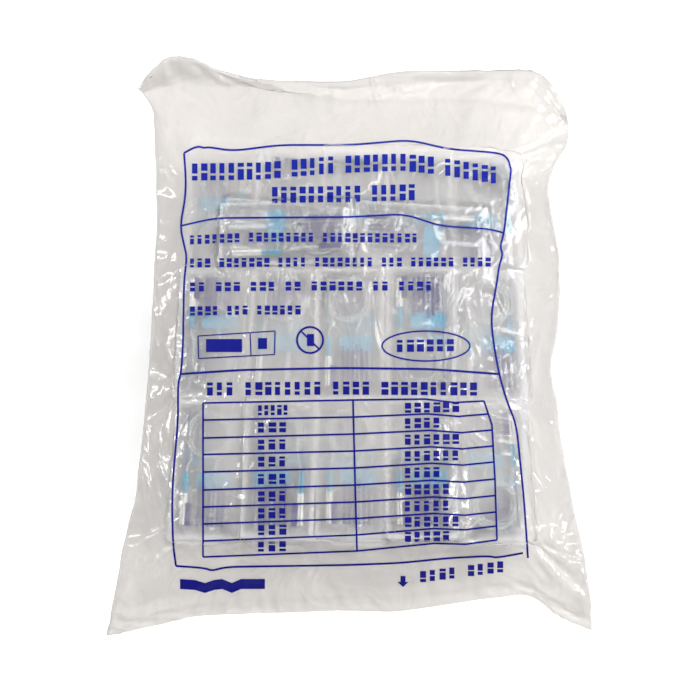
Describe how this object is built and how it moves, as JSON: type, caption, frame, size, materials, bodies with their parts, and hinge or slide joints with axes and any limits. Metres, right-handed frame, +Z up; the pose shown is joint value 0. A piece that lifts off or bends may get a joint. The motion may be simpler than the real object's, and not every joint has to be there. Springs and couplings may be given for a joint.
{
  "type": "bag of butterfly needles",
  "caption": "Sealed hazy film bag of winged blood-collection needles, each in its own flat pouch with sheath, coiled tubing and capped adapter; lies on its back.",
  "frame": {"origin": "on the table under the middle of the bag", "axes": "+Z up through the printed face, +Y towards the top of the print, +X to the reader's right"},
  "size_m": [0.34, 0.43, 0.0599],
  "materials": {
    "bag_film": "hazy soft polythene film with a wet sheen, printed in blue on its face",
    "pouch_film": "thin crinkled pouch film with small purple print",
    "wing_plastic": "soft turquoise moulded vinyl",
    "needle_steel": "drawn stainless steel",
    "sheath_plastic": "clear moulded sheath",
    "tube_plastic": "clear soft tubing",
    "adapter_plastic": "moulded turquoise adapter",
    "sleeve_rubber": "pale rubber sleeve",
    "cap_plastic": "white moulded cap"
  },
  "bodies": {
    "root": {"bag_film": "bag_film", "pouches_layer_1": "pouch_film", "winged_hubs_layer_1": "wing_plastic", "needles_layer_1": "needle_steel", "sheaths_layer_1": "sheath_plastic", "tubing_layer_1": "tube_plastic", "adapters_layer_1": "adapter_plastic", "sleeves_layer_1": "sleeve_rubber", "caps_layer_1": "cap_plastic", "pouches_layer_2": "pouch_film", "winged_hubs_layer_2": "wing_plastic", "needles_layer_2": "needle_steel", "sheaths_layer_2": "sheath_plastic", "tubing_layer_2": "tube_plastic", "adapters_layer_2": "adapter_plastic", "sleeves_layer_2": "sleeve_rubber", "caps_layer_2": "cap_plastic", "pouches_layer_3": "pouch_film", "winged_hubs_layer_3": "wing_plastic", "needles_layer_3": "needle_steel", "sheaths_layer_3": "sheath_plastic", "tubing_layer_3": "tube_plastic", "adapters_layer_3": "adapter_plastic", "sleeves_layer_3": "sleeve_rubber", "caps_layer_3": "cap_plastic", "pouches_layer_4": "pouch_film", "winged_hubs_layer_4": "wing_plastic", "needles_layer_4": "needle_steel", "sheaths_layer_4": "sheath_plastic", "tubing_layer_4": "tube_plastic", "adapters_layer_4": "adapter_plastic", "sleeves_layer_4": "sleeve_rubber", "caps_layer_4": "cap_plastic", "pouches_layer_5": "pouch_film", "winged_hubs_layer_5": "wing_plastic", "needles_layer_5": "needle_steel", "sheaths_layer_5": "sheath_plastic", "tubing_layer_5": "tube_plastic", "adapters_layer_5": "adapter_plastic", "sleeves_layer_5": "sleeve_rubber", "caps_layer_5": "cap_plastic", "pouches_layer_6": "pouch_film", "winged_hubs_layer_6": "wing_plastic", "needles_layer_6": "needle_steel", "sheaths_layer_6": "sheath_plastic", "tubing_layer_6": "tube_plastic", "adapters_layer_6": "adapter_plastic", "sleeves_layer_6": "sleeve_rubber", "caps_layer_6": "cap_plastic", "pouches_layer_7": "pouch_film", "winged_hubs_layer_7": "wing_plastic", "needles_layer_7": "needle_steel", "sheaths_layer_7": "sheath_plastic", "tubing_layer_7": "tube_plastic", "adapters_layer_7": "adapter_plastic", "sleeves_layer_7": "sleeve_rubber", "caps_layer_7": "cap_plastic"}
  },
  "joints": []
}
